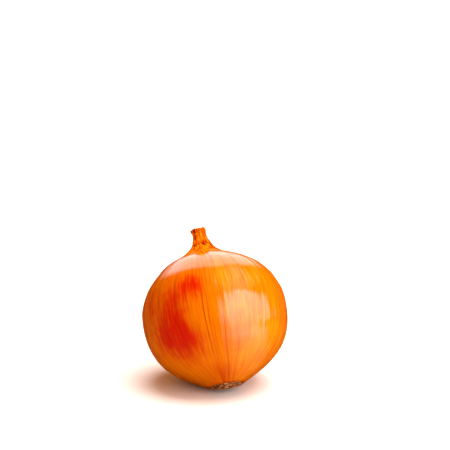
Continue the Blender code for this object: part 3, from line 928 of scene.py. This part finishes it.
def root_material():
    """Dry roots: each has its own shade from brown over tan to cream, the cream partly painted highlight, and
    is darker at its foot, painted shade deep in the mat.
    """
    material, tree, shader = new_material("dry_root_finish", IOR=1.45, Specular_IOR_Level=0.3)
    shade, along = attribute(tree, "shade"), attribute(tree, "along")
    grain = grouped(tree, MOTTLE, Size=0.0006, Contrast=0.4)
    lit = plus(tree, shade, between(tree, grain, 0.0, 1.0, -0.15, 0.15))
    colour = mixed(tree, between(tree, lit, 0.1, 0.6), ROOT_BROWN, ROOT_TAN)
    colour = mixed(tree, between(tree, lit, 0.5, 0.95), colour, ROOT_CREAM)
    # painted shade: each root darkens towards its foot, deep in the mat
    colour = mixed(tree, between(tree, along, 0.0, 0.8, 1.0, 0.0), colour, ROOT_SHADE_DARK)
    roughness = between(tree, grain, 0.0, 1.0, 0.62, 0.82)
    surface(tree, shader, colour, roughness, bumped(tree, grain, 0.6, 0.00015))
    return material


def root_plate_material():
    """The corky plate between the roots: dark brown, and darker in its pits, painted shade."""
    material, tree, shader = new_material("root_plate_finish", IOR=1.45, Specular_IOR_Level=0.25)
    pit = attribute(tree, "pit")
    grain = grouped(tree, MOTTLE, Size=0.0008, Contrast=0.4)
    # painted shade: darker in the plate's pits
    colour = mixed(tree, between(tree, pit, 0.2, 0.9), ROOT_BROWN, ROOT_SHADE_DARK)
    colour = mixed(tree, between(tree, grain, 0.4, 1.0, 0.0, 0.3), colour, ROOT_TAN)
    roughness = between(tree, grain, 0.0, 1.0, 0.75, 0.9)
    surface(tree, shader, colour, roughness, bumped(tree, grain, 0.7, 0.0002))
    return material


def turned_from(tree, way, middle):
    """How many radians a direction turns, about Z, from an azimuth: atan2 of its parts beside and along."""
    cos, sin = math.cos(math.radians(middle)), math.sin(math.radians(middle))
    beside, along = (
        add_node(tree, "ShaderNodeVectorMath", {0: way, 1: part}, operation="DOT_PRODUCT").outputs["Value"]
        for part in ((cos, sin, 0.0), (sin, -cos, 0.0))
    )
    return maths(tree, "ARCTAN2", beside, along)


def floor_material():
    """A pale matt floor that whitens away from the onion. In the gloss it is dark but for the part in front
    of the softbox, which shows the brighter the further out it lies."""
    material, tree, shader = new_material("pale_floor", Roughness=0.7, Specular_IOR_Level=0.0)
    place = add_node(tree, "ShaderNodeTexCoord").outputs["Object"]
    pale = mixed(tree, noise(tree, place, 3.0), (0.88, 0.88, 0.88), (0.90, 0.90, 0.90))
    distance = add_node(tree, "ShaderNodeVectorMath", {0: place}, operation="LENGTH").outputs["Value"]
    turn = turned_from(tree, place, 0.0)
    beside = between(tree, turn, *np.radians(FLOOR_LIT_COMES_IN))
    before = between(tree, turn, *np.radians(FLOOR_LIT_GOES_OUT), 1.0, 0.0)
    far = less(tree, distance, FLOOR_LIT_FROM)
    far = maths(tree, "DIVIDE", far, FLOOR_LIT_REACH, clamp=True)
    lit = times(tree, times(tree, beside, before), far)
    ray = add_node(tree, "ShaderNodeLightPath").outputs
    mirrored = ray["Is Glossy Ray"]
    dim = times(tree, mirrored, 1 - FLOOR_MIRRORED)
    dim = plus(tree, dim, times(tree, ray["Is Diffuse Ray"], 1 - FLOOR_BOUNCE))
    tree.links.new(mixed(tree, dim, pale, (0.0, 0.0, 0.0)), shader["Base Color"])
    shader["Emission Color"].default_value = (1.0, 1.0, 1.0, 1.0)
    shown = times(tree, mirrored, times(tree, lit, FLOOR_LIT_STRENGTH))
    white = between(tree, distance, *FLOOR_WHITENS, 0.0, FLOOR_WHITE)
    seen = times(tree, ray["Is Camera Ray"], white)
    tree.links.new(plus(tree, shown, seen), shader["Emission Strength"])
    return material


def give(obj, material):
    """The object with this material on it."""
    obj.data.materials.append(material)
    return obj


def make_onion():
    """All pieces of the onion on the part's one body."""
    skin_finish, sheath_finish = onion_skin_material(), dry_sheath_material()
    skin = give(make_skin(), skin_finish)
    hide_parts("bulb")
    on_skin = [skin, give(make_scrap(), sheath_finish)]
    on_skin += [give(make_sheath(n + 1, sheath), sheath_finish) for n, sheath in enumerate(SHEATHS)]
    on_skin += [give(make_inner_ring(n + 1, *ring), sheath_finish) for n, ring in enumerate(INNER_RINGS)]
    plate = give(make_root_plate(), root_plate_material())
    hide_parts("root_plate")
    on_root = [plate, give(make_roots(), root_material())]
    for pieces, slot in ((on_skin, "onion_skin"), (on_root, "dry_root")):
        for piece in pieces:
            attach(piece, "root")


def aim(obj, place, target):
    """Puts a lamp or camera at a place, looking at the target."""
    obj.location = place
    obj.rotation_euler = (Vector(target) - Vector(place)).to_track_quat("-Z", "Y").to_euler()
    bpy.context.scene.collection.objects.link(obj)


def make_camera():
    """The camera at the photo's angle, aimed so that the bulb's middle falls on its pixel."""
    cos, sin = math.cos(ELEVATION), math.sin(ELEVATION)
    back = np.array([math.sin(AZIMUTH) * cos, -math.cos(AZIMUTH) * cos, sin])
    right = np.array([math.cos(AZIMUTH), math.sin(AZIMUTH), 0.0])
    up = np.cross(back, right)
    middle = lean_back(np.array([0.0, 0.0, EQUATOR_HEIGHT])) + SHIFT
    x, y = ((pixel - FRAME_PIXELS / 2) * PIXEL for pixel in EQUATOR_PIXEL)
    target = middle - x * right + y * up
    span = FRAME_PIXELS * PIXEL
    data = bpy.data.cameras.new("camera")
    data.lens, data.sensor_width = LENS, SENSOR
    data.clip_start, data.clip_end = 0.05, 50.0
    camera = bpy.data.objects.new("camera", data)
    aim(camera, target + back * span * LENS / SENSOR, target)
    bpy.context.scene.camera = camera


Lamp = namedtuple("Lamp", "name place target size power")
LAMPS = (
    Lamp("softbox", (0.30, -0.50, 0.33), (0.0, 0.0, 0.20), (1.25, 0.78), 5.8),
    Lamp("top_panel", (0.24, 0.0, 1.1), (0.0, 0.0, 0.0), (1.2, 1.2), 23.0),
)

# What the gloss shows of the studio, as ovals in the surround: the softbox, a wash above it and the backdrop
# behind the onion. Each has its middle, half turn and half rise in degrees, the half turns that it slants
# over a half rise, the shares between which it fades, and its strength at its lower and its upper end
Glow = namedtuple("Glow", "azimuth elevation half_turn half_rise slant fade strengths")
GLOWS = (
    Glow(42, 9, 46, 49, 0.4, (0.80, 1.02), (0.6, 3.6)),
    Glow(80, 60, 72, 20, 0.0, (0.5, 1.1), (0.75, 0.75)),
    Glow(167, 34, 36, 32, 0.0, (0.78, 1.08), (2.3, 1.6)),
)

# The surround's light on matt surfaces with its tint, and its strength behind the onion
SURROUND_FILL = 0.45
FILL_TINT = (1.30, 0.50, 0.10)
SURROUND_SEEN = 1.3

# The floor: its size, what it gives back to the gloss and to matt surfaces, the azimuths, start, reach and
# strength of its lit part in the gloss, and where and how far it whitens
FLOOR_HALF = 6.0
FLOOR_MIRRORED = 0.01
FLOOR_BOUNCE = 0.8
FLOOR_LIT_COMES_IN = (-10, 18)
FLOOR_LIT_GOES_OUT = (46, 66)
FLOOR_LIT_FROM = 0.026
FLOOR_LIT_REACH = 0.149
FLOOR_LIT_STRENGTH = 1.9
FLOOR_WHITENS = (0.15, 0.55)
FLOOR_WHITE = 0.6


def make_stage():
    """A pale floor, a softbox at the front right, a large panel above, and a pale surround."""
    corners = FLOOR_HALF * np.array([[-1, -1, 0], [1, -1, 0], [1, 1, 0], [-1, 1, 0]])
    floor = mesh_object("floor", corners, [[0, 1, 2, 3]], {})
    give(floor, floor_material())
    for lamp in LAMPS:
        data = bpy.data.lights.new(lamp.name, "AREA")
        data.shape = "ELLIPSE"
        data.size, data.size_y = lamp.size
        data.energy = lamp.power
        obj = bpy.data.objects.new(lamp.name, data)
        aim(obj, lamp.place, lamp.target)
        obj.visible_camera = False
        obj.visible_glossy = False
    world = bpy.data.worlds.new("surround")
    world.use_nodes = True
    tree = world.node_tree
    tree.nodes.clear()
    ray = add_node(tree, "ShaderNodeLightPath").outputs
    way = add_node(tree, "ShaderNodeTexCoord").outputs["Generated"]
    elevation = maths(tree, "ARCSINE", add_node(tree, "ShaderNodeSeparateXYZ", {0: way}).outputs[2])
    mirrored = 0.0
    for glow in GLOWS:
        middle, half_rise = math.radians(glow.elevation), math.radians(glow.half_rise)
        turn = maths(tree, "DIVIDE", turned_from(tree, way, glow.azimuth), math.radians(glow.half_turn))
        rise = maths(tree, "DIVIDE", less(tree, elevation, middle), half_rise)
        turn = plus(tree, turn, times(tree, rise, glow.slant))
        squares = (maths(tree, "POWER", value, 2.0) for value in (turn, rise))
        reach = maths(tree, "SQRT", plus(tree, *squares))
        strength = between(tree, elevation, middle - half_rise, middle + half_rise, *glow.strengths)
        shown = times(tree, between(tree, reach, *glow.fade, 1.0, 0.0), strength)
        mirrored = plus(tree, mirrored, shown)
    lit = number_mix(tree, ray["Is Glossy Ray"], SURROUND_FILL, mirrored)
    strength = number_mix(tree, ray["Is Camera Ray"], lit, SURROUND_SEEN)
    tinted = mixed(tree, ray["Is Diffuse Ray"], (1.0, 1.0, 1.0), FILL_TINT)
    sky = add_node(tree, "ShaderNodeBackground", {"Color": tinted, "Strength": strength})
    add_node(tree, "ShaderNodeOutputWorld", {"Surface": sky.outputs[0]})
    bpy.context.scene.world = world
    bpy.context.scene.view_settings.view_transform = "Standard"


make_onion()
make_stage()
make_camera()
